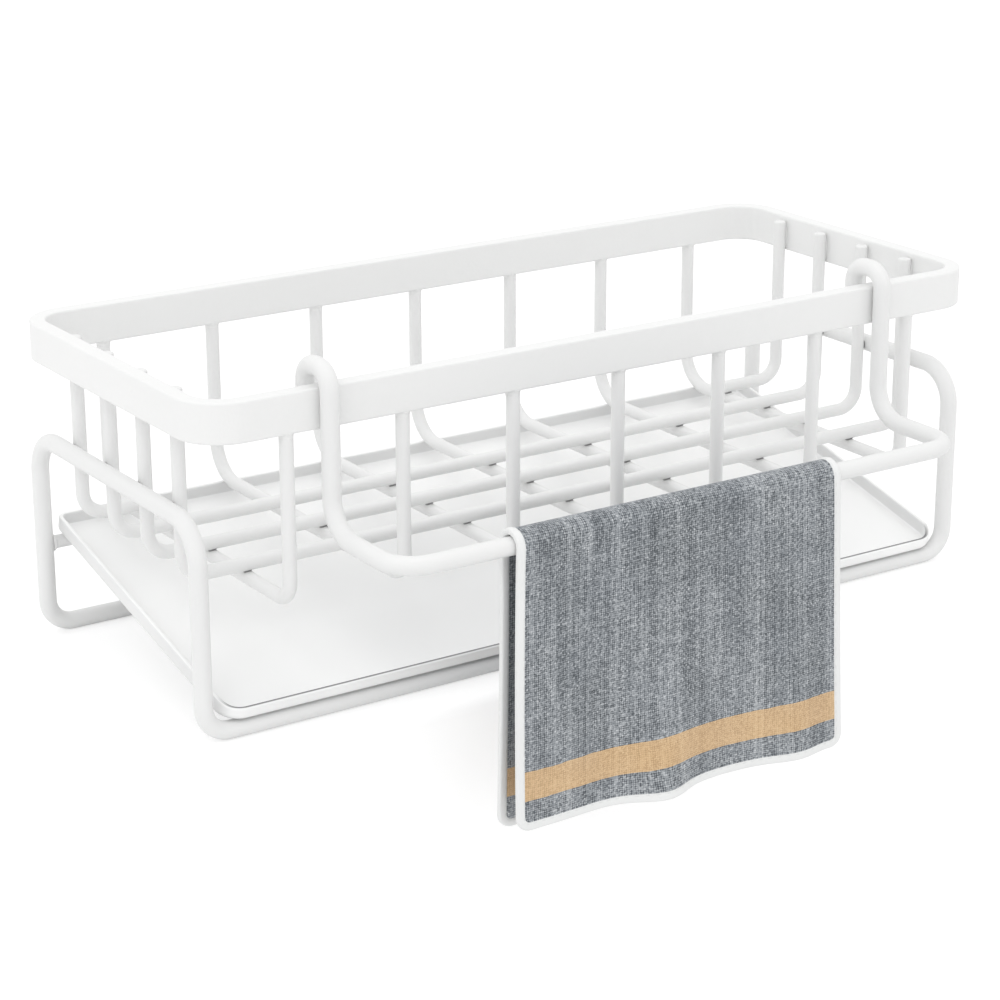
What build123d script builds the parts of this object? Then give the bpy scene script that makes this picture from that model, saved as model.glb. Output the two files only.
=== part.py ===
from build123d import *
from math import asin, atan2, cos, degrees, hypot, sin, sqrt
import os

os.makedirs("parts", exist_ok=True)

# Kitchen sink caddy: a welded wire basket with a flat rim band on a bent wire stand, a sloping
# drip tray that slides out to the front, and a lift-off wire hanger that carries a small towel.
# Millimetres. X runs along the length, Y to the rear, Z up. The origin lies on the counter,
# under the middle of the basket.

# Overall sizes of the basket and its stand
caddy_length = 257.0
caddy_depth = 109.0
caddy_height = 92.4

# Clearances
weld_gap = 0.1
seat_gap = 0.3
cut_overrun = 5.0

# Rim band, a flat bar bent on edge
band_height = 11.0
band_thickness = 4.5
band_corner_radius = 13.0
band_edge_radius = 0.6

# Basket wires
basket_wire = 3.8
cross_wire_count = 7
cross_wire_end_margin = 25.5
cross_wire_level = 35.7
cross_front_bend = 6.0
cross_rear_bend = 11.4
long_wire_side_margin = 24.95
long_wire_bend = 6.5
long_stub_drop = 1.5
end_wire_overrun = 2.4

# Stand, one closed loop of thicker wire
stand_wire = 5.0
stand_setback = 7.4
stand_rail_level = 59.3
stand_rail_bend = 11.0
stand_foot_bend = 7.4

# Drip tray and the wire that holds up its rear edge
tray_support_level = 26.9
tray_side_gap = 1.9
tray_front_overhang = 1.8
tray_rear_overhang = 3.3
tray_wall = 1.4
tray_wall_height = 5.2
tray_lip_height = 4.0
tray_lip_ramp = 6.5
tray_front_corner = 7.0
tray_rear_corner = 3.0
tray_foot_radius = 2.0
tray_inner_radius = 0.9
tray_edge_radius = 0.4

# Towel hanger
hanger_wire = 5.0
hanger_span = 182.0
hanger_offset = -2.0
hanger_reach = 33.2
hanger_level = 54.1
hanger_hook_width = 12.4
hanger_hook_bend = 5.2
hanger_hook_depth = 8.0
hanger_leg_bend = 10.0
hanger_corner_bend = 9.0

# Towel, folded over the hanger's bar
towel_left = -60.5
towel_width = 105.0
towel_thickness = 1.6
towel_front_drop = 77.0
towel_back_drop = 80.0
binding_width = 2.4
binding_thickness = 2.2
fold_shares = (0.0, 0.11, 0.24, 0.39, 0.58, 0.80, 1.0)
front_fold_share = 0.11
back_fold_share = 0.04
level_shares = (0.0, 0.45, 1.0)
level_fold_shares = (0.0, 0.35, 1.0)

# Places shared by several pieces
half_length = caddy_length / 2
half_depth = caddy_depth / 2
wire_radius = basket_wire / 2
cross_wire_pitch = (caddy_length - 2 * cross_wire_end_margin) / (cross_wire_count - 1)
long_wire_pitch = (caddy_depth - 2 * long_wire_side_margin) / 3
band_underside = caddy_height - band_height
band_middle_y = half_depth - band_thickness / 2
long_wire_x = half_length - band_thickness - weld_gap - wire_radius
long_wire_level = cross_wire_level + basket_wire + weld_gap
long_stub_top = caddy_height - long_stub_drop
end_wire_y = long_wire_pitch * 3 / 2
stand_radius = stand_wire / 2
post_x = long_wire_x + wire_radius + weld_gap + stand_radius
post_y = half_depth - stand_setback
hanger_radius = hanger_wire / 2


def bent_wire(points, bends, diameter):
    """Round wire through the points, bent at each corner with the given centre-line radius."""
    with BuildPart() as wire:
        with BuildLine() as route:
            FilletPolyline(*points, radius=bends)
        with BuildSketch(Plane(origin=route.line @ 0, z_dir=route.line % 0)):
            Circle(diameter / 2)
        sweep()
    return wire.part


# Rim band
with BuildPart() as rim_band:
    with BuildSketch(Plane.XY.offset(band_underside)):
        RectangleRounded(caddy_length, caddy_depth, band_corner_radius)
        RectangleRounded(
            caddy_length - 2 * band_thickness,
            caddy_depth - 2 * band_thickness,
            band_corner_radius - band_thickness,
            mode=Mode.SUBTRACT,
        )
    extrude(amount=band_height)
    fillet(rim_band.faces().sort_by(Axis.Z)[-1].edges(), band_edge_radius)
    fillet(rim_band.faces().sort_by(Axis.Z)[0].edges(), band_edge_radius)
rim_band.part.label = "rim_band"
export_step(rim_band.part, "parts/rim_band.step")

# Cross wires: U shapes from the front bar of the band, under the basket, up to the rear bar
for number in range(cross_wire_count):
    cross_x = (number - (cross_wire_count - 1) / 2) * cross_wire_pitch
    with BuildPart() as cross_wire:
        add(
            bent_wire(
                (
                    (cross_x, -band_middle_y, band_underside),
                    (cross_x, -band_middle_y, cross_wire_level),
                    (cross_x, band_middle_y, cross_wire_level),
                    (cross_x, band_middle_y, band_underside),
                ),
                (cross_front_bend, cross_rear_bend),
                basket_wire,
            )
        )
    cross_wire.part.label = f"cross_wire_{number + 1}"
    export_step(cross_wire.part, f"parts/cross_wire_{number + 1}.step")

# Long wires: they lie on the cross wires and climb inside both ends of the band
for number in range(3):
    long_y = (number - 3 / 2) * long_wire_pitch
    with BuildPart() as long_wire:
        add(
            bent_wire(
                (
                    (-long_wire_x, long_y, long_stub_top),
                    (-long_wire_x, long_y, long_wire_level),
                    (long_wire_x, long_y, long_wire_level),
                    (long_wire_x, long_y, long_stub_top),
                ),
                (long_wire_bend, long_wire_bend),
                basket_wire,
            )
        )
    long_wire.part.label = f"long_wire_{number + 1}"
    export_step(long_wire.part, f"parts/long_wire_{number + 1}.step")

# End wires: the rearmost row has only its two ends, which stop on the outermost cross wires
end_wire_tip_x = (cross_wire_count - 1) / 2 * cross_wire_pitch - end_wire_overrun
for side, name in ((-1, "end_wire_left"), (1, "end_wire_right")):
    with BuildPart() as end_wire:
        add(
            bent_wire(
                (
                    (side * long_wire_x, end_wire_y, long_stub_top),
                    (side * long_wire_x, end_wire_y, long_wire_level),
                    (side * end_wire_tip_x, end_wire_y, long_wire_level),
                ),
                (long_wire_bend,),
                basket_wire,
            )
        )
    end_wire.part.label = name
    export_step(end_wire.part, f"parts/{name}.step")

# Stand: a quarter of the loop, mirrored to both sides
with BuildPart() as stand_frame:
    add(
        bent_wire(
            (
                (0, -post_y, stand_radius),
                (post_x, -post_y, stand_radius),
                (post_x, -post_y, stand_rail_level),
                (post_x, 0, stand_rail_level),
            ),
            (stand_foot_bend, stand_rail_bend),
            stand_wire,
        )
    )
    mirror(about=Plane.YZ)
    mirror(about=Plane.XZ)
stand_frame.part.label = "stand_frame"
export_step(stand_frame.part, "parts/stand_frame.step")

# Tray support wire, welded between the two rear posts
support_half_length = post_x - stand_radius - weld_gap
with BuildPart() as tray_support_wire:
    with BuildSketch(Plane.YZ.offset(-support_half_length)):
        with Locations((post_y, tray_support_level)):
            Circle(wire_radius)
    extrude(amount=2 * support_half_length)
tray_support_wire.part.label = "tray_support_wire"
export_step(tray_support_wire.part, "parts/tray_support_wire.step")

# Drip tray: its flat underside touches the front rail and the support wire from above
support_rise = tray_support_level - stand_radius
support_distance = hypot(2 * post_y, support_rise)
radius_step = stand_radius - wire_radius
tray_slope = atan2(support_rise, 2 * post_y) - asin(radius_step / support_distance)
tray_lift = stand_radius + seat_gap
tray_plane = Plane(
    origin=(0, -post_y - tray_lift * sin(tray_slope), stand_radius + tray_lift * cos(tray_slope)),
    x_dir=(1, 0, 0),
    z_dir=(0, -sin(tray_slope), cos(tray_slope)),
)
seat_distance = sqrt(support_distance**2 - radius_step**2)
tray_length = 2 * (post_x - stand_radius - tray_side_gap)
tray_depth = seat_distance + tray_front_overhang + tray_rear_overhang
tray_middle = tray_depth / 2 - tray_front_overhang
tray_up = Axis(tray_plane.origin, tray_plane.z_dir)
with BuildPart() as drip_tray:
    with BuildSketch(tray_plane):
        with Locations((0, tray_middle)):
            tray_outline = Rectangle(tray_length, tray_depth)
        fillet(tray_outline.vertices().group_by(Axis.Y)[0], tray_front_corner)
        fillet(tray_outline.vertices().group_by(Axis.Y)[-1], tray_rear_corner)
    extrude(amount=tray_wall_height)
    fillet(drip_tray.faces().sort_by(tray_up)[0].edges(), tray_foot_radius)
    with BuildSketch(tray_plane.offset(tray_wall)):
        with Locations((0, tray_middle)):
            tray_hollow = Rectangle(tray_length - 2 * tray_wall, tray_depth - 2 * tray_wall)
        fillet(tray_hollow.vertices().group_by(Axis.Y)[0], tray_front_corner - tray_wall)
        fillet(tray_hollow.vertices().group_by(Axis.Y)[-1], tray_rear_corner - tray_wall)
    extrude(amount=tray_wall_height, mode=Mode.SUBTRACT)
    floor_top = drip_tray.faces().filter_by(tray_up).sort_by(tray_up)[1]
    fillet(floor_top.edges(), tray_inner_radius)
    lip_plane = Plane(origin=tray_plane.origin, x_dir=tray_plane.y_dir, z_dir=(1, 0, 0))
    with BuildSketch(lip_plane):
        with BuildLine():
            lip_front = (-tray_front_overhang - cut_overrun, tray_lip_height)
            lip_rear = (-tray_front_overhang + tray_wall, tray_lip_height)
            ramp_top = (-tray_front_overhang + tray_lip_ramp, tray_wall_height)
            above_ramp = (-tray_front_overhang + tray_lip_ramp, tray_wall_height + cut_overrun)
            above_front = (-tray_front_overhang - cut_overrun, tray_wall_height + cut_overrun)
            Polyline(lip_front, lip_rear, ramp_top, above_ramp, above_front, close=True)
        make_face()
    extrude(amount=tray_length, both=True, mode=Mode.SUBTRACT)
    wall_top = drip_tray.faces().filter_by(tray_up).sort_by(tray_up)[-1]
    fillet(wall_top.edges().filter_by(Axis.X).sort_by(Axis.Y)[-2:], tray_edge_radius)
drip_tray.part.label = "drip_tray"
export_step(drip_tray.part, "parts/drip_tray.step")

# Towel hanger: hooks over the front bar, legs down its outer face, arms forward, and the bar
leg_y = -half_depth - seat_gap - hanger_radius
hook_tip_y = leg_y + hanger_hook_width
hook_rise = hanger_hook_bend - hanger_radius - band_edge_radius
hook_top = caddy_height + hook_rise + hanger_radius
hook_tip_z = caddy_height - hanger_hook_depth
bar_y = leg_y - hanger_reach
left_leg_x = hanger_offset - hanger_span / 2
right_leg_x = hanger_offset + hanger_span / 2
with BuildPart() as towel_hanger:
    add(
        bent_wire(
            (
                (left_leg_x, hook_tip_y, hook_tip_z),
                (left_leg_x, hook_tip_y, hook_top),
                (left_leg_x, leg_y, hook_top),
                (left_leg_x, leg_y, hanger_level),
                (left_leg_x, bar_y, hanger_level),
                (right_leg_x, bar_y, hanger_level),
                (right_leg_x, leg_y, hanger_level),
                (right_leg_x, leg_y, hook_top),
                (right_leg_x, hook_tip_y, hook_top),
                (right_leg_x, hook_tip_y, hook_tip_z),
            ),
            (
                hanger_hook_bend,
                hanger_hook_bend,
                hanger_leg_bend,
                hanger_corner_bend,
                hanger_corner_bend,
                hanger_leg_bend,
                hanger_hook_bend,
                hanger_hook_bend,
            ),
            hanger_wire,
        )
    )
towel_hanger.part.label = "towel_hanger"
export_step(towel_hanger.part, "parts/towel_hanger.step")

# Towel: a wrap over the bar and two panels whose folds deepen towards the hem. Each panel leans
# outwards as its folds deepen, so that none of them reaches back into the bar.
wrap_radius = hanger_radius + seat_gap + binding_thickness / 2
fabric_left = towel_left + binding_width
fabric_width = towel_width - 2 * binding_width
widest_fold = fabric_width * max(end - start for start, end in zip(fold_shares, fold_shares[1:]))
panels = (
    (-1, hanger_level - towel_front_drop, front_fold_share),
    (1, hanger_level - towel_back_drop, back_fold_share),
)


def panel_cuts(side, hem, fold_share):
    """Middle plane, height and fold depth of the cuts through one panel, from the bar down."""
    cuts = []
    for level_share, level_fold_share in zip(level_shares, level_fold_shares):
        depth_share = level_fold_share * fold_share
        middle_y = bar_y + side * (wrap_radius + depth_share * widest_fold)
        cut_level = hanger_level - level_share * (hanger_level - hem - binding_width)
        cuts.append((middle_y, cut_level, depth_share))
    return cuts


def folded_section(middle_y, level, depth_share, thickness):
    """Cut across one panel: alternating arcs in front, and the same arcs a thickness behind."""
    places = [fabric_left + share * fabric_width for share in fold_shares]
    with BuildSketch(Plane.XY.offset(level)) as section:
        with BuildLine():
            for face_y in (middle_y - thickness / 2, middle_y + thickness / 2):
                for index, (start, end) in enumerate(zip(places, places[1:])):
                    depth = (-1) ** index * depth_share * (end - start)
                    if depth == 0:
                        Line((start, face_y), (end, face_y))
                    else:
                        bulge = ((start + end) / 2, face_y + depth)
                        ThreePointArc((start, face_y), bulge, (end, face_y))
            for end_x in (places[0], places[-1]):
                Line((end_x, middle_y - thickness / 2), (end_x, middle_y + thickness / 2))
        make_face()
    return section.sketch


def strip_section(start_x, middle_y, level):
    """Cut across the tape along one side of a panel."""
    with BuildSketch(Plane.XY.offset(level)) as section:
        with Locations((start_x, middle_y)):
            Rectangle(binding_width, binding_thickness, align=(Align.MIN, Align.CENTER))
    return section.sketch


def bar_wrap(start_x, width, thickness):
    """Half a ring over the bar, from one panel to the other."""
    with BuildPart() as wrap:
        with BuildSketch(Plane.YZ.offset(start_x)):
            with Locations((bar_y, hanger_level)):
                Circle(wrap_radius + thickness / 2)
                Circle(wrap_radius - thickness / 2, mode=Mode.SUBTRACT)
                cut_size = 4 * wrap_radius
                Rectangle(cut_size, cut_size, align=(Align.CENTER, Align.MAX), mode=Mode.SUBTRACT)
        extrude(amount=width)
    return wrap.part


with BuildPart() as towel:
    for panel in panels:
        loft(sections=[folded_section(*cut, towel_thickness).face() for cut in panel_cuts(*panel)])
    add(bar_wrap(fabric_left, fabric_width, towel_thickness))
towel.part.label = "towel"
export_step(towel.part, "parts/towel.step")

# Binding: the white tape round the towel's edge, a little thicker than the cloth
with BuildPart() as towel_binding:
    for start_x in (towel_left, towel_left + towel_width - binding_width):
        for panel in panels:
            cuts = panel_cuts(*panel)
            loft(sections=[strip_section(start_x, *cut[:2]).face() for cut in cuts])
            extrude(strip_section(start_x, *cuts[-1][:2]), amount=binding_width, dir=(0, 0, -1))
        add(bar_wrap(start_x, binding_width, binding_thickness))
    for panel in panels:
        hem_section = folded_section(*panel_cuts(*panel)[-1], binding_thickness)
        extrude(hem_section, amount=binding_width, dir=(0, 0, -1))
towel_binding.part.label = "towel_binding"
export_step(towel_binding.part, "parts/towel_binding.step")

print(f"tray slope {degrees(tray_slope):.2f} degrees, bar at Y {bar_y:.2f}, post X {post_x:.2f}")
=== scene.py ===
import math

import bpy
import numpy as np
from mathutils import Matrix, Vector


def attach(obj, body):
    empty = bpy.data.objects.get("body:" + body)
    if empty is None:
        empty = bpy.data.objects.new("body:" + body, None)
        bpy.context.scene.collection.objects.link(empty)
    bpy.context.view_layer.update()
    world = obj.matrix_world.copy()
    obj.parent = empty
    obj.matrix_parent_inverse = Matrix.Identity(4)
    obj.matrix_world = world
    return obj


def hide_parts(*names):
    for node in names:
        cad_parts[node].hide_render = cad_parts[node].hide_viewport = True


# A kitchen sink caddy: a coated wire basket with a flat rim band on a bent wire stand, a sloping
# drip tray under it, and a wire hanger on its front bar that carries a folded towel. Sizes below
# are millimetres in the frame of the CAD model, and each mesh is turned to metres as it is made.
# Depths of relief, the lamps and the camera are given in metres.

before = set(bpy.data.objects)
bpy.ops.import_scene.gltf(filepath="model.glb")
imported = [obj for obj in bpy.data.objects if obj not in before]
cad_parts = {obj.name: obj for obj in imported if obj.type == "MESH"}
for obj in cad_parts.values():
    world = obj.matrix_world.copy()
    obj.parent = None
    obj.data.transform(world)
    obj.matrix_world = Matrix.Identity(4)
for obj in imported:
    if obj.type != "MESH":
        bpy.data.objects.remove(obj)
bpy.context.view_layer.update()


# ---- Rim band
# A flat steel bar that stands on edge, bent to a rounded rectangle and closed by a weld. The whole
# basket is powder-coated in satin white after welding, and the bar's long edges have a small
# radius.

caddy_length, caddy_depth, caddy_height = 257.0, 109.0, 92.4
band_height, band_thickness = 11.0, 4.5
band_corner, band_edge = 13.0, 0.6
band_bend = band_corner - band_thickness / 2
bar_end, bar_middle = (caddy_length - band_thickness) / 2, (caddy_depth - band_thickness) / 2
band_underside = caddy_height - band_height
coat_relief = 0.00012
# The band takes the wires' coat in lighter tones than wire_tones below: painted light that
# brightens its broad faces.
band_painted_light_tones = (0.81, 0.812, 0.808, 1), (0.85, 0.852, 0.847, 1)


class Reading:
    """One output of a node, so that the maths of a finish is written as a plain expression."""

    def __init__(self, layout, socket):
        self.layout, self.socket = layout, socket

    def _maths(self, operation, first, second=None):
        values = {0: first} if second is None else {0: first, 1: second}
        return self.layout.node("ShaderNodeMath", {"operation": operation}, values)

    def __add__(self, other):
        return self._maths("ADD", self, other)

    def __sub__(self, other):
        return self._maths("SUBTRACT", self, other)

    def __rsub__(self, other):
        return self._maths("SUBTRACT", other, self)

    def __mul__(self, other):
        return self._maths("MULTIPLY", self, other)

    def __truediv__(self, other):
        return self._maths("DIVIDE", self, other)

    def __mod__(self, other):
        return self._maths("FLOORED_MODULO", self, other)

    def __gt__(self, other):
        return self._maths("GREATER_THAN", self, other)

    def __lt__(self, other):
        return self._maths("LESS_THAN", self, other)

    __radd__, __rmul__ = __add__, __mul__

    def floor(self):
        return self._maths("FLOOR", self)

    def sine(self):
        return self._maths("SINE", self)

    def size(self):
        return self._maths("ABSOLUTE", self)


class NodeLayout:
    """The nodes of a material or of the world."""

    def __init__(self, owner):
        owner.use_nodes = True
        self.tree = owner.node_tree

    def node(self, kind, settings=None, inputs=None, output=0):
        """Add a node with its settings, then the values or links of its sockets."""
        made = self.tree.nodes.new(kind)
        for name, value in (settings or {}).items():
            if name == "stops":
                ramp = made.color_ramp.elements
                while len(ramp) < len(value):
                    ramp.new(0.5)
                for stop, (position, colour) in zip(ramp, value):
                    stop.position, stop.color = position, colour
            else:
                setattr(made, name, value)
        for socket, value in (inputs or {}).items():
            self.feed(made.inputs[socket], value)
        return Reading(self, made.outputs[output])

    def feed(self, socket, value):
        if isinstance(value, Reading):
            self.tree.links.new(value.socket, socket)
        else:
            socket.default_value = value

    def show(self, output_node, shader):
        """Link a shader to the surface of the layout's output node."""
        self.feed(self.tree.nodes[output_node].inputs["Surface"], shader)


class Finish(NodeLayout):
    """A material on the Principled shader, with its even values set on the shader's own sockets."""

    def __init__(self, name, **even):
        self.material = bpy.data.materials.new(name)
        super().__init__(self.material)
        self.shader = self.tree.nodes["Principled BSDF"]
        for socket, value in even.items():
            self.shader.inputs[socket.replace("_", " ")].default_value = value

    def mix(self, share, first, second):
        """A colour between two colours, or between two colour readings."""
        return self.node("ShaderNodeMix", {"data_type": "RGBA"}, {0: share, 6: first, 7: second}, 2)

    def noise(self, place, scale, detail=2.0, roughness=0.5, output=0):
        values = {"Vector": place, "Scale": scale, "Detail": detail, "Roughness": roughness}
        return self.node("ShaderNodeTexNoise", None, values, output)

    def object_place(self):
        """The place of a point in the frame of the whole object, in metres."""
        return self.node("ShaderNodeTexCoord", output="Object")

    def mark(self, name, output):
        """What mark_points kept on the piece: output 1 reads a place, and output 2 a number."""
        return self.node("ShaderNodeAttribute", {"attribute_name": name}, output=output)

    def first_two(self, place):
        """The first and the second number of a place."""
        split = {"Vector": place}
        return [self.node("ShaderNodeSeparateXYZ", None, split, part) for part in (0, 1)]

    def relief(self, height, strength, depth):
        """The surface's direction, tilted by a height that is worth a depth in metres."""
        return self.node(
            "ShaderNodeBump", None, {"Strength": strength, "Distance": depth, "Height": height}
        )

    def wear(self, **varied):
        """Link what changes over the surface to the shader."""
        for socket, reading in varied.items():
            self.feed(self.shader.inputs[socket.replace("_", " ")], reading)
        return self.material


def powder_coat(name, orange_peel, tones):
    """Satin powder coat: a thick even film with a faint orange peel and slow drifts of tone."""
    coat = Finish(name, Specular_IOR_Level=0.18, Coat_Roughness=0.22, IOR=1.48)
    place = coat.object_place()
    drift = coat.noise(place, 28.0, 3.0)
    peel = coat.noise(place, orange_peel, 1.5, 0.4)
    grit = coat.noise(place, 5200.0, 1.0)
    return coat.wear(
        Base_Color=coat.mix(drift * 0.7 + peel * 0.3, *tones),
        Roughness=0.33 + 0.12 * drift + 0.05 * grit,
        Coat_Weight=0.03 + 0.06 * drift,
        Normal=coat.relief(peel * 0.8 + grit * 0.2, 0.35, coat_relief),
    )


def make_piece(name, points, faces, material):
    """Object from points in millimetres and faces as index arrays, its faces turned outwards.

    A closed surface whose tetrahedra from the middle add up to less than nothing is inside out,
    and its faces are then taken in the other order."""
    middle = points.mean(axis=0)
    corners = [points[block] - middle for block in faces]
    volume = sum(
        np.einsum("ij,ij->", np.cross(c[:, 0], c[:, k]), c[:, k + 1])
        for c in corners
        for k in range(1, c.shape[1] - 1)
    )
    order = 1 if volume > 0 else -1
    outward_faces = [face for block in faces for face in block[:, ::order].tolist()]
    mesh = bpy.data.meshes.new(name)
    mesh.from_pydata((points * 0.001).tolist(), [], outward_faces)
    mesh.polygons.foreach_set("use_smooth", np.full(len(mesh.polygons), True))
    mesh.materials.append(material)
    mesh.update()
    piece = bpy.data.objects.new(name, mesh)
    bpy.context.scene.collection.objects.link(piece)
    return piece


def mark_points(piece, name, values):
    """Keep a number or a place with each point of a piece, for its finish to read."""
    kind, field = ("FLOAT", "value") if values.ndim == 1 else ("FLOAT_VECTOR", "vector")
    mark = piece.data.attributes.new(name, kind, "POINT")
    mark.data.foreach_set(field, values.astype(np.float32).ravel())


def grid_faces(rows, columns, closed_rows, closed_columns):
    """Quads of a grid of points: each has its row and column neighbours as corners, and a closed
    direction joins its last line to its first."""
    row = np.arange(rows if closed_rows else rows - 1)[:, None]
    column = np.arange(columns if closed_columns else columns - 1)[None, :]
    next_row, next_column = (row + 1) % rows, (column + 1) % columns
    corners = (
        row * columns + column, row * columns + next_column,
        next_row * columns + next_column, next_row * columns + column,
    )
    spread = [np.broadcast_to(corner, (row.size, column.size)) for corner in corners]
    return np.stack(spread, -1).reshape(-1, 4)


def closed_tube(rings, first_pole, last_pole):
    """Points and faces of rings closed by a point at each end."""
    rows, columns = rings.shape[:2]
    points = np.concatenate([rings.reshape(-1, 3), [first_pole], [last_pole]])
    column = np.arange(columns)
    after = (column + 1) % columns
    pole, last_row = rows * columns, (rows - 1) * columns
    first_fan = np.stack([np.full(columns, pole), after, column], -1)
    last_fan = np.stack([np.full(columns, pole + 1), last_row + column, last_row + after], -1)
    return points, [grid_faces(rows, columns, False, True), first_fan, last_fan]


def rounded_loop(half_x, low_y, high_y, low_radius, high_radius, arc_steps=14, run_steps=6):
    """Points and outward directions round a rectangle with arcs at its corners: each point is an
    arc centre plus its radius times (cos, sin) of the turn. The runs between are divided evenly,
    with a guard point close to each arc so that they shade flat."""
    centres = np.array([
        (half_x - high_radius, high_y - high_radius), (-half_x + high_radius, high_y - high_radius),
        (-half_x + low_radius, low_y + low_radius), (half_x - low_radius, low_y + low_radius),
    ])
    radii = np.array([high_radius, high_radius, low_radius, low_radius])
    turn = np.linspace(0, math.pi / 2, arc_steps)[None, :] + np.arange(4)[:, None] * math.pi / 2
    out = np.stack([np.cos(turn), np.sin(turn)], -1)
    arcs = centres[:, None] + radii[:, None, None] * out
    guard = 0.1
    steps = np.concatenate([[guard], np.arange(1, run_steps), [run_steps - guard]])
    share = steps[None, :, None] / run_steps
    runs = arcs[:, -1:] * (1 - share) + np.roll(arcs, -1, axis=0)[:, :1] * share
    run_out = np.broadcast_to(out[:, -1:], runs.shape)
    points = np.concatenate([arcs, runs], 1).reshape(-1, 2)
    return points, np.concatenate([out, run_out], 1).reshape(-1, 2)


def edge_rounded_section(half_width, half_height, radius, arc_steps=6):
    """Cross-section of a flat bar: quarter arcs at its corners, with a guard point on each flat
    close to every arc so that the flats shade flat."""
    turn = np.linspace(0, math.pi / 2, arc_steps)[None, :] + np.arange(4)[:, None] * math.pi / 2
    signs = np.array([(1, 1), (-1, 1), (-1, -1), (1, -1)])
    centres = signs * (half_width - radius, half_height - radius)
    arcs = centres[:, None] + radius * np.stack([np.cos(turn), np.sin(turn)], -1)
    share = np.array([0.06, 0.94])[None, :, None]
    flats = arcs[:, -1:] * (1 - share) + np.roll(arcs, -1, axis=0)[:, :1] * share
    return np.concatenate([arcs, flats], 1).reshape(-1, 2)


band_coat = powder_coat("Band_coat", 1000.0, band_painted_light_tones)
loop, outwards = rounded_loop(bar_end, -bar_middle, bar_middle, band_bend, band_bend, 18, 12)
section = edge_rounded_section(band_thickness / 2, band_height / 2, band_edge)
band_points = np.zeros((len(loop), len(section), 3))
band_points[..., :2] = loop[:, None] + outwards[:, None] * section[None, :, :1]
band_points[..., 2] = caddy_height - band_height / 2 + section[None, :, 1]
band_faces = grid_faces(len(loop), len(section), True, True)
rim_band = make_piece("Rim_band", band_points.reshape(-1, 3), [band_faces], band_coat)
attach(rim_band, "caddy")
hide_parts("rim_band")


# ---- Cross wires
# Seven drawn steel wires bent to a U, butt-welded under the front and rear bars of the rim. They
# carry the basket's floor, and their bends are tighter in front than at the back.

basket_wire = 3.8
cross_count, cross_margin = 7, 25.5
cross_shares = np.arange(cross_count) / (cross_count - 1) - 0.5
cross_places = cross_shares * (caddy_length - 2 * cross_margin)
cross_level = 35.7
cross_front_bend, cross_rear_bend = 6.0, 11.4
butt_rounding, free_rounding = 0.2, 0.6
wire_tones = (0.775, 0.777, 0.774, 1), (0.815, 0.817, 0.812, 1)
weld_gap = 0.1
cross_top = band_underside - weld_gap


def wire_route(corners, bends, closed=False, arc_steps=13):
    """Centre line of a bent wire and its directions: straight runs between corners, and at each
    corner an arc of the bend's radius that touches both runs, its centre at radius / cos(half the
    turn) from the corner. A guard point on each run keeps the arc's shading off the run."""
    guard = 0.4
    corners = np.array(corners, float)
    count = len(corners)
    turning = range(count) if closed else range(1, count - 1)
    places, directions = [], []
    if not closed:
        run = (corners[1] - corners[0]) / np.linalg.norm(corners[1] - corners[0])
        places.append([corners[0]])
        directions.append([run])
    for number, bend in zip(turning, bends):
        before, here, after = corners[number - 1], corners[number], corners[(number + 1) % count]
        come = (here - before) / np.linalg.norm(here - before)
        go = (after - here) / np.linalg.norm(after - here)
        half_turn = math.acos(np.clip(come @ go, -1, 1)) / 2
        start = here - come * bend * math.tan(half_turn)
        centre = here + (go - come) / np.linalg.norm(go - come) * bend / math.cos(half_turn)
        turn = np.linspace(0, 2 * half_turn, arc_steps)[:, None]
        arc = centre + (start - centre) * np.cos(turn) + come * bend * np.sin(turn)
        along = come * np.cos(turn) + (centre - start) / bend * np.sin(turn)
        places += [[start - come * guard], arc, [arc[-1] + go * guard]]
        directions += [[come], along, [go]]
    if not closed:
        run = (corners[-1] - corners[-2]) / np.linalg.norm(corners[-1] - corners[-2])
        places.append([corners[-1]])
        directions.append([run])
    return np.concatenate(places), np.concatenate(directions)


def ring_round(places, directions, radii, sides=28):
    """Rings of points across a line: place + radius * (cos, sin) in the plane across its
    direction. The first axis of that plane is an oblique direction less its part along the line."""
    oblique = np.array([0.48, 0.62, 0.62])
    first = oblique - (directions @ oblique)[:, None] * directions
    first /= np.linalg.norm(first, axis=1)[:, None]
    second = np.cross(directions, first)
    turn = (np.arange(sides) * 2 * math.pi / sides)[None, :, None]
    across = first[:, None] * np.cos(turn) + second[:, None] * np.sin(turn)
    return places[:, None] + across * np.asarray(radii)[:, None, None]


def make_wire(name, route, diameter, end_rounding=free_rounding, sides=28):
    """Round coated wire along a route whose cut ends are rounded by the coat: the last rings
    shrink by rounding * (1 - cos) while they move out by rounding * sin, a smaller ring flattens
    the end, and a point closes it."""
    places, directions = route
    radius, flat_share = diameter / 2, 0.8
    turn = np.linspace(0, math.pi / 2, 6)
    end_radii = np.append(
        radius - end_rounding * (1 - np.cos(turn)), flat_share * (radius - end_rounding)
    )
    reach = np.append(end_rounding * (np.sin(turn) - 1), 0.0)
    first = places[0] - directions[0] * reach[::-1, None]
    last = places[-1] + directions[-1] * reach[:, None]
    line = np.concatenate([first, places[1:-1], last])
    headings = np.concatenate([
        np.repeat(directions[:1], len(first), 0), directions[1:-1],
        np.repeat(directions[-1:], len(last), 0),
    ])
    radii = np.concatenate([end_radii[::-1], np.full(len(places) - 2, radius), end_radii])
    points, faces = closed_tube(ring_round(line, headings, radii, sides), places[0], places[-1])
    return make_piece(name, points, faces, wire_coat)


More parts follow.
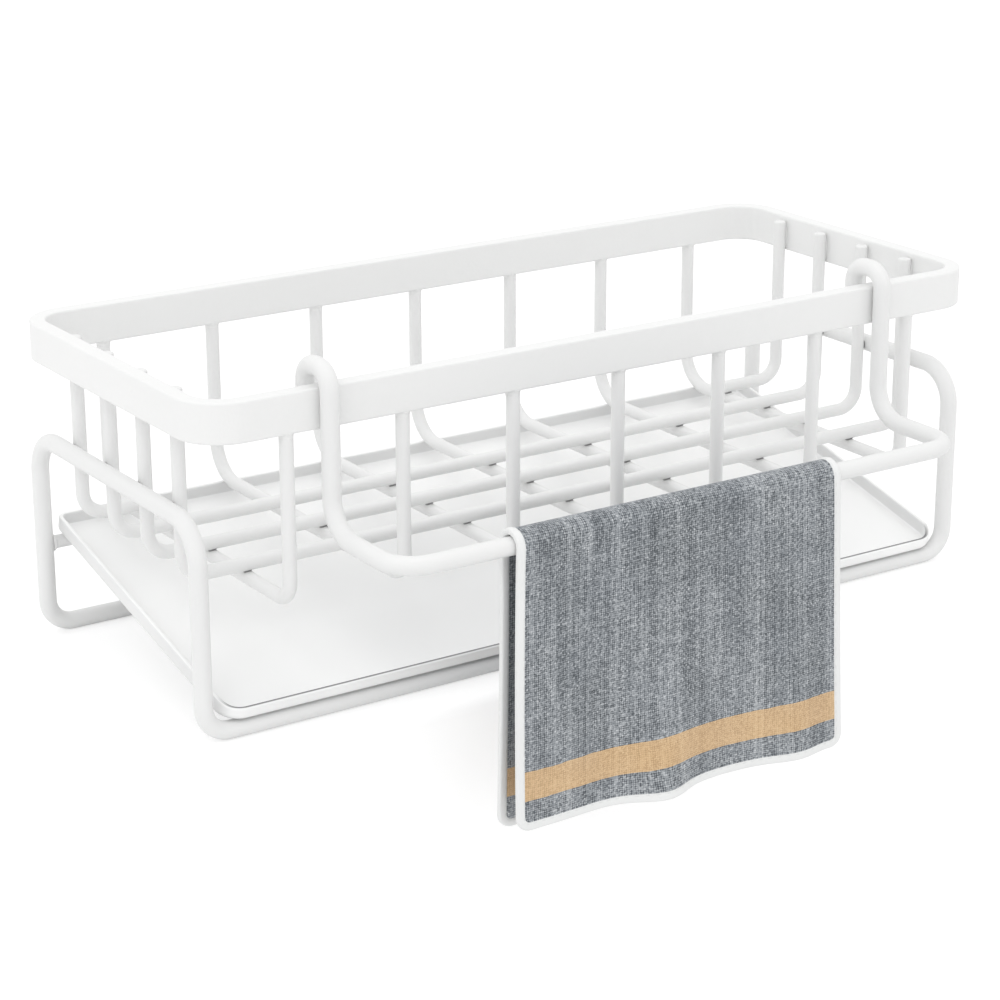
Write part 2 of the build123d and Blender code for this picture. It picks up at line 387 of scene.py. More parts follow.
wire_coat = powder_coat("Wire_coat", 1300.0, wire_tones)
for number, x in enumerate(cross_places):
    corners = [
        (x, -bar_middle, cross_top), (x, -bar_middle, cross_level),
        (x, bar_middle, cross_level), (x, bar_middle, cross_top),
    ]
    route = wire_route(corners, [cross_front_bend, cross_rear_bend])
    cross_wire = make_wire(f"Cross_wire_{number + 1}", route, basket_wire, butt_rounding)
    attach(cross_wire, "caddy")
    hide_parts(f"cross_wire_{number + 1}")


# ---- Long wires and end wires
# Three wires lie along the basket on top of the cross wires, and climb inside both ends of the
# rim, where they are welded on. A fourth row at the back has only its two short end wires.

long_places = (-29.55, -9.85, 9.85, 29.55)
long_level = cross_level + basket_wire + weld_gap
long_x = (caddy_length - basket_wire) / 2 - band_thickness - weld_gap
long_bend = 6.5
stub_drop, tip_past_cross = 1.5, 2.4
stub_top = caddy_height - stub_drop
end_tip_x = cross_places[-1] - tip_past_cross

for number, y in enumerate(long_places[:3]):
    corners = [
        (-long_x, y, stub_top), (-long_x, y, long_level),
        (long_x, y, long_level), (long_x, y, stub_top),
    ]
    route = wire_route(corners, [long_bend, long_bend])
    long_wire = make_wire(f"Long_wire_{number + 1}", route, basket_wire)
    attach(long_wire, "caddy")
    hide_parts(f"long_wire_{number + 1}")
for side, end in ((-1, "left"), (1, "right")):
    y = long_places[3]
    corners = [
        (side * long_x, y, stub_top), (side * long_x, y, long_level),
        (side * end_tip_x, y, long_level),
    ]
    end_wire = make_wire(f"End_wire_{end}", wire_route(corners, [long_bend]), basket_wire)
    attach(end_wire, "caddy")
    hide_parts(f"end_wire_{end}")


# ---- Stand and tray support wire
# One closed loop of thicker wire: two rails on the counter, four posts, and two side rails that
# the basket's end wires are welded to. A thinner wire between the rear posts holds the tray up.

stand_wire, stand_sides = 5.0, 32
post_inset = 7.4
post_x = long_x + basket_wire / 2 + weld_gap + stand_wire / 2
post_y = caddy_depth / 2 - post_inset
rail_level, rail_bend, foot_bend = 59.3, 11.0, 7.4
support_level = 26.9
foot_level = stand_wire / 2

stand_corners = [
    (-post_x, -post_y, foot_level), (post_x, -post_y, foot_level),
    (post_x, -post_y, rail_level), (post_x, post_y, rail_level),
    (post_x, post_y, foot_level), (-post_x, post_y, foot_level),
    (-post_x, post_y, rail_level), (-post_x, -post_y, rail_level),
]
stand_bends = [foot_bend, foot_bend, rail_bend, rail_bend] * 2
places, directions = wire_route(stand_corners, stand_bends, closed=True, arc_steps=16)
rings = ring_round(places, directions, np.full(len(places), stand_wire / 2), stand_sides)
stand_faces = grid_faces(len(places), stand_sides, True, True)
stand = make_piece("Stand_frame", rings.reshape(-1, 3), [stand_faces], wire_coat)
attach(stand, "caddy")
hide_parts("stand_frame")

support_end = post_x - stand_wire / 2 - weld_gap
support_line = np.array([
    (-support_end, post_y, support_level), (support_end, post_y, support_level)
])
support_route = (support_line, np.array([(1.0, 0, 0), (1.0, 0, 0)]))
support = make_wire("Tray_support_wire", support_route, basket_wire, butt_rounding)
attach(support, "caddy")
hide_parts("tray_support_wire")


# ---- Welds
# Small resistance welds, softened by the coat: a spool of metal where two wires cross, a collar
# where a wire butts against the rim or a post, and a bead where a wire's end lies along the rim.

basket_spool_reach, rail_spool_reach = 1.25, 1.35
rim_collar_flare, rim_collar_height = 0.3, 1.1
post_collar_flare, post_collar_height = 0.55, 1.2
bead_rise, bead_half_sizes = 4.6, np.array([0.5, 1.35, 4.0])
# Dark grey of the painted shade in the narrow middle of each weld.
weld_painted_shade_colour = (0.16, 0.16, 0.162, 1)
weld_sides = 22


def weld_coat():
    """The same coat, with a painted shade where it runs into the narrow gap at a weld: the piece's
    own mark, 1 in the narrow middle of a spool, darkens it as a painted contact shadow."""
    coat = Finish("Weld_coat", Specular_IOR_Level=0.18, IOR=1.48)
    place = coat.object_place()
    ripple = coat.noise(place, 1500.0, 2.0)
    painted_weld_shade = coat.mark("crevice", 2) * (0.75 + 0.25 * ripple)
    return coat.wear(
        Base_Color=coat.mix(painted_weld_shade, wire_tones[1], weld_painted_shade_colour),
        Roughness=0.4 + 0.15 * ripple,
        Normal=coat.relief(ripple, 0.4, coat_relief),
    )


def crossing_weld(centre, up, lower_run, lower_radius, upper_radius, reach):
    """Spool between two crossed wires, waisted to 0.74 of its reach in the middle. It fills the
    space that opens between the wires: each surface falls away by r - sqrt(r^2 - d^2) at a
    distance d from that wire's middle line. Its share of painted shade is 1 in the waist and 0
    outside."""
    up, lower_run = np.array(up, float), np.array(lower_run, float)
    upper_run = np.cross(up, lower_run)
    share = np.linspace(-1, 1, 9)[:, None]
    turn = (np.arange(weld_sides) * 2 * math.pi / weld_sides)[None, :]
    out = reach * (0.74 + 0.4 * share**2)
    on_lower, on_upper = out * np.cos(turn), out * np.sin(turn)
    low = -weld_gap / 2 - lower_radius + np.sqrt(lower_radius**2 - on_upper**2)
    high = weld_gap / 2 + upper_radius - np.sqrt(upper_radius**2 - on_lower**2)
    rise = low + (high - low) * (share + 1) / 2 + 0.12 * share**3
    rings = (
        np.array(centre) + on_lower[..., None] * lower_run + on_upper[..., None] * upper_run
        + rise[..., None] * up
    )
    crevice = np.append(np.repeat(1 - np.abs(share) ** 3, turn.size), [0, 0])
    return *closed_tube(rings, np.array(centre) - up * 0.5, np.array(centre) + up * 0.5), crevice


def butt_weld(centre, towards, radius, flare, height):
    """Collar round a wire's end: its radius grows from the wire's by flare * share^3 over its
    height. It starts inside the wire, and it runs on a little into the piece that the wire butts
    against."""
    towards = np.array(towards, float)
    share = np.linspace(0, 1, 8)
    tuck, film, run_on = 0.15, 0.02, 0.3
    radii = np.concatenate([[radius - tuck], radius + film + flare * share**3, [radius + flare]])
    reach = np.concatenate([[-height - run_on], height * (share - 1), [run_on]])
    line = np.array(centre) + reach[:, None] * towards
    rings = ring_round(line, np.repeat(towards[None], len(line), 0), radii, weld_sides)
    points, faces = closed_tube(rings, line[0], line[-1])
    return points, faces, np.zeros(len(points))


def bead_weld(centre, half_sizes):
    """Bead as a stretched ball: the half sizes times (cos cos, cos sin, sin), drawn a little
    towards a box by taking each to the power 0.8."""
    last_tilt, rings, sides = 1.45, 11, 18
    tilt = np.linspace(-last_tilt, last_tilt, rings)[:, None]
    turn = (np.arange(sides) * 2 * math.pi / sides)[None, :]
    level = np.cos(tilt)
    ball = np.stack([level * np.cos(turn), level * np.sin(turn), np.sin(tilt) + 0 * turn], -1)
    ball = np.sign(ball) * np.abs(ball) ** 0.8 * half_sizes
    centre, pole = np.array(centre), np.array([0, 0, half_sizes[2]])
    points, faces = closed_tube(centre + ball, centre - pole, centre + pole)
    return points, faces, np.zeros(len(points))


wire_radius = basket_wire / 2
contact_level = cross_level + wire_radius + weld_gap / 2
crossings = [(x, y) for x in cross_places for y in long_places[:3]]
crossings += [(x, long_places[3]) for x in (cross_places[0], cross_places[-1])]
welds = [
    crossing_weld(
        (x, y, contact_level), (0, 0, 1), (0, 1, 0), wire_radius, wire_radius, basket_spool_reach
    )
    for x, y in crossings
]
for side in (-1, 1):
    for y in long_places:
        contact_x = side * (long_x + wire_radius + weld_gap / 2)
        welds.append(crossing_weld(
            (contact_x, y, rail_level), (side, 0, 0), (0, 0, 1), wire_radius, stand_wire / 2,
            rail_spool_reach,
        ))
        welds.append(bead_weld((contact_x, y, band_underside + bead_rise), bead_half_sizes))
    for x in cross_places:
        welds.append(butt_weld(
            (x, side * bar_middle, band_underside), (0, 0, 1), wire_radius, rim_collar_flare,
            rim_collar_height,
        ))
    welds.append(butt_weld(
        (side * support_end, post_y, support_level), (side, 0, 0), wire_radius,
        post_collar_flare, post_collar_height,
    ))

weld_points, weld_blocks, weld_painted_shade_marks = zip(*welds)
starts = np.cumsum([0] + [len(points) for points in weld_points[:-1]])
weld_faces = [block + start for blocks, start in zip(weld_blocks, starts) for block in blocks]
weld_metal = make_piece("Welds", np.concatenate(weld_points), weld_faces, weld_coat())
# Each weld point's share of painted shade, read by the weld coat.
mark_points(weld_metal, "crevice", np.concatenate(weld_painted_shade_marks))
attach(weld_metal, "caddy")


# ---- Drip tray
# A thin injection-moulded tray in white plastic, loose on the front rail and the support wire and
# sloping down to the front. Its rim is lower in front, where the water runs off.

tray_slope = 0.247287
tray_origin = np.array([0.0, -47.785, 5.215])
tray_length, tray_front, tray_rear = 244.2, -1.8, 100.61
tray_wall, tray_height, lip_height, lip_ramp = 1.4, 5.2, 4.0, 6.5
front_corner, rear_corner = 7.0, 3.0
foot_radius, floor_radius, top_radius = 2.0, 0.9, 0.5
under_inset, floor_inset, wall_guard = 3.0, 3.2, 0.4
sink_relief = 0.00005
plastic_white = (0.94, 0.942, 0.938, 1)
plastic_shade = (0.865, 0.868, 0.866, 1)
# Dark grey of the painted shade lines on the tray's lip and walls.
plastic_painted_shade = (0.13, 0.132, 0.135, 1)


def moulded_plastic():
    """Satin white plastic: a fine spark-eroded grain, and the slow clouds of tone and the shallow
    sinks that the melt leaves as it flows from the middle."""
    plastic = Finish("Tray_plastic", Specular_IOR_Level=0.45, IOR=1.5)
    place = plastic.object_place()
    grain = plastic.noise(place, 3600.0, 2.0, 0.6)
    flow = plastic.noise(place, 24.0, 1.0)
    cloud = (flow - 0.5) * 2.2 + 0.5
    clouded = plastic.mix(cloud, plastic_shade, plastic_white)
    return plastic.wear(
        # Painted shade from each point's mark darkens the base colour.
        Base_Color=plastic.mix(plastic.mark("crevice", 2), clouded, plastic_painted_shade),
        Roughness=0.26 + 0.1 * flow + 0.05 * grain,
        Normal=plastic.relief(grain + 6.0 * flow, 0.3, sink_relief),
    )


def tray_rings():
    """Rings of the tray from its underside round the foot, up the wall, over the rim and down to
    the floor: the outline set in by an amount, at a height over the tray's own plane. The rim is
    low in front and eases up along the two front corners by 3 e^2 - 2 e^3. With them goes each
    point's share of painted shade: dark lines at the front lip's inner top edge and at its foot,
    and a lighter painted shade on the walls."""
    arc_points = 7
    turn = np.linspace(0, math.pi / 2, arc_points)
    rise, fall = 1 - np.cos(turn), 1 - np.sin(turn)
    beside_rim, over_rim = np.zeros(arc_points + 2), np.ones(2 * arc_points)
    inset = np.concatenate([
        [under_inset], foot_radius * fall, [0.0], top_radius * rise, tray_wall - top_radius * fall,
        [tray_wall], tray_wall + floor_radius * rise, [floor_inset],
    ])
    height = np.concatenate([
        [0.0], foot_radius * rise, [foot_radius + wall_guard], 0 * over_rim,
        [tray_wall + floor_radius + wall_guard], tray_wall + floor_radius * fall, [tray_wall],
    ])
    drop = np.concatenate([beside_rim, top_radius * fall, top_radius * rise, beside_rim])
    on_rim = np.concatenate([beside_rim, over_rim, beside_rim])
    # Painted shade per ring: dark lines at the front lip's inner top edge and foot, lighter on the
    # walls.
    lip_painted_shade, wall_painted_shade = np.zeros((2, len(inset)))
    lip_painted_shade[2:5], lip_painted_shade[15:22] = (0.3, 1.0, 0.4), (0.6, 1.0, 1.0, 1.0, 0.9, 0.6, 0.3)
    wall_painted_shade[3:13], wall_painted_shade[18:27] = 0.18, 0.2
    rings, ring_painted_shades, least_corner = [], [], 0.4
    for number, (place, level, lower, rim_share) in enumerate(zip(inset, height, drop, on_rim)):
        ring, _ = rounded_loop(
            tray_length / 2 - place, tray_front + place, tray_rear - place,
            max(front_corner - place, least_corner), max(rear_corner - place, least_corner), 16, 10,
        )
        ease = np.clip((ring[:, 1] - tray_front - tray_wall) / (lip_ramp - tray_wall), 0, 1)
        rim = lip_height + (tray_height - lip_height) * ease**2 * (3 - 2 * ease)
        rings.append(np.column_stack([ring, rim_share * (rim - lower) + (1 - rim_share) * level]))
        ring_painted_shades.append(lip_painted_shade[number] * (1 - ease) + wall_painted_shade[number] * ease)
    return np.array(rings), np.array(ring_painted_shades)


def towards_middle(ring, share):
    """The same ring drawn in to a share of its distance from the middle of its plane."""
    middle = ring.mean(axis=0)
    return middle + (ring - middle) * share


tray_shell, tray_painted_shades = tray_rings()
under, floor = tray_shell[0], tray_shell[-1]
inner_share, outer_share = 0.3, 0.7
tray_shell = np.concatenate([
    [towards_middle(under, inner_share), towards_middle(under, outer_share)], tray_shell,
    [towards_middle(floor, outer_share), towards_middle(floor, inner_share)],
])
tray_points, tray_faces = closed_tube(tray_shell, under.mean(axis=0), floor.mean(axis=0))
tray_axes = np.array([
    (1, 0, 0), (0, math.cos(tray_slope), math.sin(tray_slope)),
    (0, -math.sin(tray_slope), math.cos(tray_slope)),
])
tray = make_piece("Drip_tray", tray_origin + tray_points @ tray_axes, tray_faces, moulded_plastic())
plain_rings = np.zeros(2 * len(under))
tray_marks = np.concatenate([plain_rings, tray_painted_shades.ravel(), plain_rings, [0, 0]])
# Each tray point's share of painted shade.
mark_points(tray, "crevice", tray_marks)
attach(tray, "tray")
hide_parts("drip_tray")


# ---- Towel hanger
# The same thick wire in ten runs: two hooks that drop over the front bar, two legs down its outer
# face, two arms forward, and the bar between them. It is coated like the basket and lifts off.

hanger_wire = 5.0
left_leg, right_leg = -93.0, 89.0
seat_gap, hook_width, tip_drop, bar_reach = 0.3, 12.4, 8.0, 33.2
leg_y = -caddy_depth / 2 - seat_gap - hanger_wire / 2
hook_tip_y, hook_tip_z, hook_top = leg_y + hook_width, caddy_height - tip_drop, 97.0
bar_y, bar_level = leg_y - bar_reach, 54.1
hook_bend, leg_bend, corner_bend = 5.2, 10.0, 9.0
hanger_rounding = 0.9

hanger_corners = [
    (left_leg, hook_tip_y, hook_tip_z), (left_leg, hook_tip_y, hook_top),
    (left_leg, leg_y, hook_top), (left_leg, leg_y, bar_level), (left_leg, bar_y, bar_level),
    (right_leg, bar_y, bar_level), (right_leg, leg_y, bar_level), (right_leg, leg_y, hook_top),
    (right_leg, hook_tip_y, hook_top), (right_leg, hook_tip_y, hook_tip_z),
]
side_bends = [hook_bend, hook_bend, leg_bend, corner_bend]
hanger_route = wire_route(hanger_corners, side_bends + side_bends[::-1], arc_steps=16)
hanger = make_wire("Towel_hanger", hanger_route, hanger_wire, hanger_rounding, stand_sides)
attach(hanger, "hanger")
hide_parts("towel_hanger")


# ---- Towel
# One rectangle of plain-woven grey melange cloth with a tan stripe woven in near each short edge,
# folded over the bar with its back panel a little longer. It hangs freely, and its folds open
# towards the hem.

cloth_width, front_drop, back_drop = 105.0, 77.0, 80.0
wrap_radius = 3.8
cloth_left = -61.2
cloth_thickness, cloth_corner = 1.1, 4.0
tape_half_width = 1.2
wrap_length = math.pi * wrap_radius
cloth_length = front_drop + wrap_length + back_drop
yarn_pitch = 0.6
stripe_start, stripe_end = 8.6, 16.7
weave_relief = 0.00022

# Each fold's height in millimetres, and its middle and width as shares of the cloth's width.
front_folds = (1.7, 0.0, 0.17), (3.2, 0.86, 0.08), (1.6, 1.03, 0.08)
hem_folds = ((5.6, 0.425, 0.085),)
belly_folds = (0.6, 0.62, 0.2), (0.35, 0.1, 0.09)
back_folds = (1.3, 0.3, 0.1), (1.6, 0.7, 0.12)
front_lean, back_lean = 0.6, 0.5
ripple_count, ripple_height, loosen_length = 14, 0.075, 14.0
random = np.random.default_rng(7)
ripple_waves = random.normal(0, 1, (ripple_count, 2)) * (0.11, 0.05)
ripple_starts = random.uniform(0, 2 * math.pi, ripple_count)


def sum_of_folds(share, folds):
    """Sum of bell curves: a height times e to the minus square of the distance over the width."""
    return sum(
        height * np.exp(-(((share - middle) / width) ** 2)) for height, middle, width in folds
    )


def cloth_surface(across, along):
    """Where a point of the flat towel hangs. Across and along are millimetres from its left edge
    and from its front hem, and a depth is a share of a panel's drop. Over the bar the cloth is
    half a circle. Below it each panel is a plane, pushed outwards by folds that grow as a power
    of the depth, by bellies of the sine of the depth, by a slow lean and by small ripples. It
    spreads a little across and sags towards its right edge."""
    share = across / cloth_width
    front = np.clip(front_drop - along, 0, None)
    back = np.clip(along - front_drop - wrap_length, 0, None)
    turn = np.clip((along - front_drop) / wrap_radius, 0, math.pi)
    front_depth, back_depth = front / front_drop, back / back_drop
    ripple = sum(
        np.sin(wave[0] * across + wave[1] * along + start)
        for wave, start in zip(ripple_waves, ripple_starts)
    ) * ripple_height
    front_out = (
        sum_of_folds(share, front_folds) * front_depth**2
        + sum_of_folds(share, hem_folds) * front_depth**4.2
        + front_lean * front_depth**1.5
        + sum_of_folds(share, belly_folds) * np.sin(math.pi * front_depth)
    )
    back_out = sum_of_folds(share, back_folds) * back_depth**2.5 + back_lean * back_depth
    wrap = wrap_radius + ripple * np.clip((front + back) / loosen_length, 0, 1)
    outward = wrap + front_out * (front > 0) + back_out * (back > 0)
    front_spread = (0.04 * across - 1.9) * front_depth**0.8
    back_spread = 0.9 * back_depth * (share - 0.6)
    sag = 2.1 * (share - 0.18) * front_depth
    return np.stack([
        cloth_left + across + front_spread + back_spread,
        bar_y - outward * np.cos(turn),
        bar_level + wrap * np.sin(turn) - front - back - sag,
    ], -1)


def cloth_frame(across, along):
    """Directions across, along and out of the hanging cloth, from steps of 0.05 mm each way."""
    step = 0.05
    over = cloth_surface(across + step, along) - cloth_surface(across - step, along)
    down = cloth_surface(across, along + step) - cloth_surface(across, along - step)
    over /= np.linalg.norm(over, axis=-1)[..., None]
    out = np.cross(over, down)
    out /= np.linalg.norm(out, axis=-1)[..., None]
    return over, np.cross(out, over), out


def woven_cloth():
    """Plain weave in melange yarn. The place on the flat cloth, in millimetres, is divided by the
    yarn's pitch: whole parts number the yarns, their parity says which one lies on top, and the
    rest says where across that yarn a point is. Each yarn has its own tone and mottles along its
    length. Painted shade darkens the hollows between the yarns and some of their meetings as dark
    pores, long streaks of painted shade stand in for the shade of folds, and a painted shade makes
    the cloth a little darker below the bar. The stripe is the same weave in tan yarn."""
    cloth = Finish(
        "Towel_cloth", Specular_IOR_Level=0.2, Sheen_Weight=0.25, Sheen_Roughness=0.45,
        Sheen_Tint=(0.86, 0.88, 0.9, 1),
    )
    place = cloth.mark("flat_place", 1)
    wobble = cloth.noise(place, 0.22, 2.0, 0.5, 1)
    wobbled = cloth.node(
        "ShaderNodeVectorMath", {"operation": "MULTIPLY_ADD"},
        {0: wobble, 1: (0.5, 0.5, 0), 2: place},
    )
    across, along = cloth.first_two(wobbled)
    warp, weft = across / yarn_pitch, along / yarn_pitch
    warp_number, weft_number = warp.floor(), weft.floor()
    warp_top = (warp_number + weft_number) % 2.0

    def own_number(number):
        return cloth.node("ShaderNodeTexWhiteNoise", {"noise_dimensions": "1D"}, {"W": number})

    def yarn(number, run, seed, own_share):
        where = cloth.node("ShaderNodeCombineXYZ", None, {0: number * 7.31 + seed, 1: run, 2: seed})
        mottle = cloth.noise(where, 1.2, 1.0)
        return mottle * 1.15 + own_share * (own_number(number + seed) - 0.5) - 0.04

    warp_tone = yarn(warp_number, along, 3.7, 0.24)
    weft_tone = yarn(weft_number, across, 41.3, 0.14)
    tone = weft_tone + (warp_tone - weft_tone) * warp_top
    across_warp = (math.pi * (warp - warp_number)).sine()
    across_weft = (math.pi * (weft - weft_number)).sine()
    crown = across_warp * across_weft
    hollow = 1.0 - crown
    column, row = (warp + 0.5).floor(), (weft + 0.5).floor()
    meeting = cloth.node("ShaderNodeCombineXYZ", None, {0: column, 1: row})
    looseness = cloth.node(
        "ShaderNodeTexWhiteNoise", {"noise_dimensions": "2D"}, {"Vector": meeting}
    )
    # Some meetings of yarns get dark pores of painted shade.
    pore_painted_shade = hollow * hollow * hollow * looseness * (0.35 + 1.3 * own_number(column + 90.5))
    stretched = cloth.node(
        "ShaderNodeVectorMath", {"operation": "MULTIPLY"}, {0: place, 1: (1.0, 0.16, 1.0)}
    )
    # Long streaks of painted shade that stand in for the shade of folds.
    painted_fold_shade = cloth.noise(stretched, 0.11, 3.0, 0.6)
    half_length = cloth_length / 2
    from_hem = cloth.node("ShaderNodeMath", {"operation": "PINGPONG"}, {0: along, 1: half_length})
    height_share = from_hem / half_length
    # Painted shade, a little darker below the bar, most at three quarters of the way up.
    painted_shade_below_bar = height_share * height_share * height_share * (1.0 - height_share)
    # Painted shade: the hollows between yarns, the pores, the fold streaks and the part below the
    # bar darken the tone.
    shade = tone - 0.14 * hollow - 0.8 * pore_painted_shade + 0.7 * painted_fold_shade - 0.62 * painted_shade_below_bar - 0.27
    greys = cloth.node("ShaderNodeValToRGB", {"stops": [
        (0.0, (0.05, 0.056, 0.06, 1)), (0.3, (0.185, 0.20, 0.212, 1)),
        (0.6, (0.37, 0.388, 0.402, 1)), (1.0, (0.66, 0.675, 0.685, 1)),
    ]}, {"Fac": shade})
    tans = cloth.node("ShaderNodeValToRGB", {"stops": [
        (0.0, (0.50, 0.32, 0.158, 1)), (0.45, (0.665, 0.45, 0.238, 1)),
        (1.0, (0.765, 0.55, 0.315, 1)),
    ]}, {"Fac": shade})
    stripe = (from_hem > stripe_start) * (from_hem < stripe_end)
    dyed = cloth.mix(stripe, greys, tans)
    slow = cloth.noise(place, 0.05, 2.0)
    fibre = cloth.noise(place, 9.0, 2.0)
    return cloth.wear(
        Base_Color=cloth.mix(0.12 * slow, dyed, (0.50, 0.55, 0.66, 1)),
        Roughness=0.82 + 0.12 * fibre,
        Normal=cloth.relief(crown * 0.8 + 0.2 * fibre, 0.55, weave_relief),
    )


def pull_in_corners(across, along, inset, radius):
    """Points of a rectangle, with those outside its rounded corners drawn back onto the arcs."""
    middle = np.stack([
        np.clip(across, inset + radius, cloth_width - inset - radius),
        np.clip(along, inset + radius, cloth_length - inset - radius),
    ], -1)
    reach = np.stack([across, along], -1) - middle
    distance = np.linalg.norm(reach, axis=-1)[..., None]
    drawn = middle + reach * np.minimum(1, radius / np.maximum(distance, 1e-9))
    return drawn[..., 0], drawn[..., 1]


cloth_inset = tape_half_width
cloth_columns, front_rows, wrap_rows, back_rows = 96, 70, 18, 72
across = np.linspace(cloth_inset, cloth_width - cloth_inset, cloth_columns)[None, :]
along = np.concatenate([
    np.linspace(cloth_inset, front_drop - 1, front_rows),
    np.linspace(front_drop, front_drop + wrap_length, wrap_rows),
    np.linspace(front_drop + wrap_length + 1, cloth_length - cloth_inset, back_rows),
])[:, None]
across, along = np.broadcast_arrays(across, along)
across, along = pull_in_corners(across, along, cloth_inset, cloth_corner - cloth_inset)
towel = make_piece(
    "Towel", cloth_surface(across, along).reshape(-1, 3),
    [grid_faces(*across.shape, False, False)], woven_cloth(),
)
mark_points(towel, "flat_place", np.stack([across, along, 0 * along], -1).reshape(-1, 3))
solid = towel.modifiers.new("Cloth_thickness", "SOLIDIFY")
solid.thickness, solid.offset = cloth_thickness * 0.001, 0.0
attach(towel, "towel")
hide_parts("towel")


# ---- Towel binding
# White cotton tape folded over the towel's edge and sewn on all round, with rounded corners. It is
# a little thicker than the cloth, and one line of stitches runs along its inner edge.

tape_half_thickness, tape_sides = 0.9, 20
rib_pitch, rib_slant = 0.55, 0.8
stitch_pitch, seam_place = 2.6, -0.72
tape_relief = 0.00018
tape_white = (0.85, 0.855, 0.85, 1)
tape_shade = (0.66, 0.67, 0.67, 1)


def cotton_tape():
    """Fine twill tape: ribs as a sine of a slanting length, and a sewn line that is pressed in
    between its stitches. The stitches are a sine of the length over their pitch. The fibres vary
    its tone, and the pressed-in line carries a painted shade between the stitches."""
    tape = Finish("Binding_tape", Specular_IOR_Level=0.2, Sheen_Weight=0.15, Sheen_Roughness=0.5)
    place = tape.mark("tape_place", 1)
    length, width = tape.first_two(place)
    ribs = ((length + rib_slant * width) * (2 * math.pi / rib_pitch)).sine() * 0.5 + 0.5
    fibre = tape.noise(place, 4.5, 3.0)
    near_seam = 1.0 - (width - seam_place).size() * 4.5
    stitch = ((length * (2 * math.pi / stitch_pitch)).sine() > -0.35) * (near_seam > 0.0)
    seam = near_seam * (near_seam > 0.0)
    height = 0.35 * ribs + 0.3 * fibre - 0.9 * seam + 0.9 * stitch * seam
    # Tone: random fibre tone, with painted shade along the pressed-in line between the stitches.
    fibre_tone_and_seam_shade = 0.5 * fibre + 0.35 * seam - 0.3 * stitch * seam
    return tape.wear(
        Base_Color=tape.mix(fibre_tone_and_seam_shade, tape_white, tape_shade),
        Roughness=0.78 + 0.15 * fibre,
        Normal=tape.relief(height, 0.5, tape_relief),
    )


tape_bend = cloth_corner - tape_half_width
edge, edge_out = rounded_loop(
    cloth_width / 2 - tape_half_width, tape_half_width, cloth_length - tape_half_width,
    tape_bend, tape_bend, 12, 110,
)
edge_across, edge_along = edge[:, 0] + cloth_width / 2, edge[:, 1]
over, down, out = cloth_frame(edge_across, edge_along)
sideways = over * edge_out[:, :1] + down * edge_out[:, 1:]
turn = np.arange(tape_sides) * 2 * math.pi / tape_sides
wave = np.array([np.cos(turn), np.sin(turn)])
boxed = np.sign(wave) * np.abs(wave) ** 0.62
tape_side, tape_rise = boxed * [[tape_half_width], [tape_half_thickness]]
tape_points = (
    cloth_surface(edge_across, edge_along)[:, None]
    + sideways[:, None] * tape_side[None, :, None] + out[:, None] * tape_rise[None, :, None]
)
tape_faces = grid_faces(len(edge), tape_sides, True, True)
binding = make_piece("Towel_binding", tape_points.reshape(-1, 3), [tape_faces], cotton_tape())
along_edge = np.concatenate([[0], np.cumsum(np.linalg.norm(np.diff(edge, axis=0), axis=1))])
tape_place = np.zeros((len(edge), tape_sides, 3))
tape_place[..., 0], tape_place[..., 1] = along_edge[:, None], tape_side[None, :]
mark_points(binding, "tape_place", tape_place.reshape(-1, 3))
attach(binding, "towel")
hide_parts("towel_binding")


# ---- Ledge, light and camera
# A plain white ledge whose front edge lies between the stand and the towel, so that the towel
# hangs past it as it does past a sink's edge. Broad soft lamps stand round it.

ledge_front, ledge_drop, ledge_edge = -62.0, -260.0, 3.0
white = (1, 1, 1, 1)


def seen_rays(layout):
    """1 for a ray that shows what it meets, straight or in a reflection, and 0 for one that only
    carries light."""
    rays = [
        layout.node("ShaderNodeLightPath", output=name)
        for name in ("Is Camera Ray", "Is Glossy Ray", "Is Transmission Ray")
    ]
    return (rays[0] + rays[1] + rays[2]) > 0.5


def pale_surface():
    """White that the camera sees as white where nothing shades it, and that still keeps the
    object's shadow: a diffuse part for every ray, and an even glow for seen rays alone."""
    pale = Finish("Pale_surface", Roughness=0.9)
    seen = seen_rays(pale)
    glow = pale.node("ShaderNodeEmission", None, {"Color": white, "Strength": 0.62})
    matt = pale.node("ShaderNodeBsdfDiffuse", None, {"Color": (0.92, 0.92, 0.92, 1)})
    dim = pale.node("ShaderNodeBsdfDiffuse", None, {"Color": (0.45, 0.45, 0.45, 1)})
    glowing = pale.node("ShaderNodeAddShader", None, {0: dim, 1: glow})
    shown = pale.node("ShaderNodeMixShader", None, {0: seen, 1: matt, 2: glowing})
    pale.show("Material Output", shown)
    return pale.material


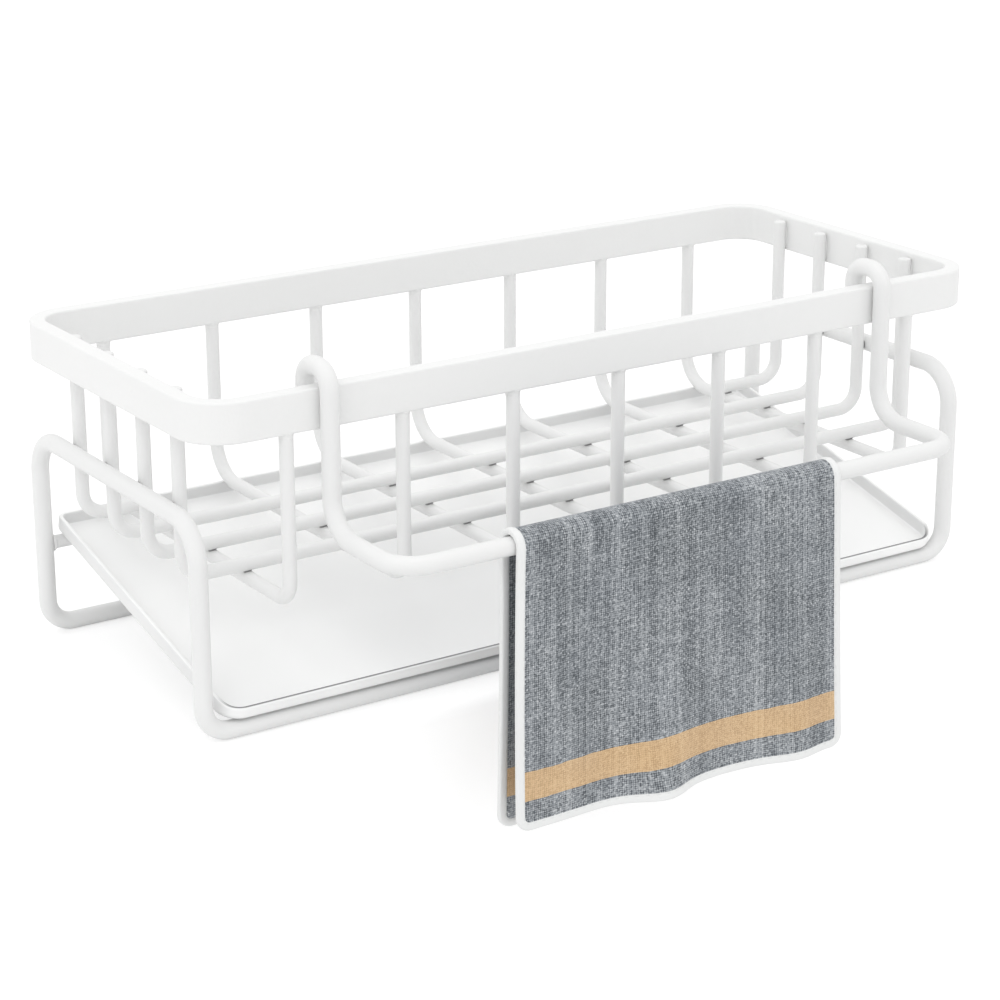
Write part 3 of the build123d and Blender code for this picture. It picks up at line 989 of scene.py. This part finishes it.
# The ledge's profile in Y and Z, from far behind over its rounded edge and down its front face
# to the floor.
rounding = np.linspace(0, math.pi / 2, 8)
ledge_line = np.concatenate([
    [(4000.0, 0.0), (400.0, 0.0)],
    np.column_stack([
        ledge_front + ledge_edge * (1 - np.sin(rounding)), ledge_edge * (np.cos(rounding) - 1)
    ]),
    [(ledge_front, ledge_drop), (-3000.0, ledge_drop)],
])
ledge_x = np.array([-3500.0, -400.0, 0.0, 400.0, 3500.0])
ledge_points = np.zeros((len(ledge_line), len(ledge_x), 3))
ledge_points[..., 0] = ledge_x
ledge_points[..., 1:] = ledge_line[:, None]
ledge_faces = grid_faces(len(ledge_line), len(ledge_x), False, False)
ledge = make_piece("Ledge", ledge_points.reshape(-1, 3), [ledge_faces], pale_surface())

# The sky's strength is a base plus a share of the dot product of its direction with the bright
# side, which lies above and to the left front.
bright_side = (-0.3, -0.36, 0.70)
world = bpy.data.worlds.new("Studio")
bpy.context.scene.world = world
sky = NodeLayout(world)
heading = sky.node("ShaderNodeTexCoord", output="Generated")
facing = sky.node(
    "ShaderNodeVectorMath", {"operation": "DOT_PRODUCT"}, {0: heading, 1: bright_side}, "Value"
)
graded = {"Color": white, "Strength": 0.968 + 0.27 * facing}
daylight = sky.node("ShaderNodeBackground", None, graded)
backdrop = sky.node("ShaderNodeBackground", None, {"Color": white, "Strength": 1.0})
shown = sky.node("ShaderNodeMixShader", None, {0: seen_rays(sky), 1: daylight, 2: backdrop})
sky.show("World Output", shown)


def soft_lamp(name, place, aim, size, watts):
    """Square area lamp in metres, turned towards a point."""
    lamp = bpy.data.lights.new(name, "AREA")
    lamp.size, lamp.energy = size, watts
    holder = bpy.data.objects.new(name, lamp)
    holder.location = place
    holder.rotation_euler = (Vector(aim) - Vector(place)).to_track_quat("-Z", "Y").to_euler()
    bpy.context.scene.collection.objects.link(holder)


basket_middle = (0, 0, 0.04)
soft_lamp("Overhead_lamp", (-0.25, 0.25, 1.5), basket_middle, 1.0, 1.2)
soft_lamp("Window_lamp", (-0.9, -0.7, 1.1), basket_middle, 0.5, 1.0)

eye = bpy.data.cameras.new("Camera")
eye.lens, eye.sensor_width, eye.shift_x, eye.shift_y = 99.37, 36.0, -0.02184, -0.00236
camera = bpy.data.objects.new("Camera", eye)
camera.location = (-0.4233, -0.6344, 0.2894)
sight = Vector((0.00365, 0, 0.0292)) - camera.location
camera.rotation_euler = sight.to_track_quat("-Z", "Y").to_euler()
bpy.context.scene.collection.objects.link(camera)
bpy.context.scene.camera = camera
bpy.context.scene.view_settings.view_transform = "Standard"
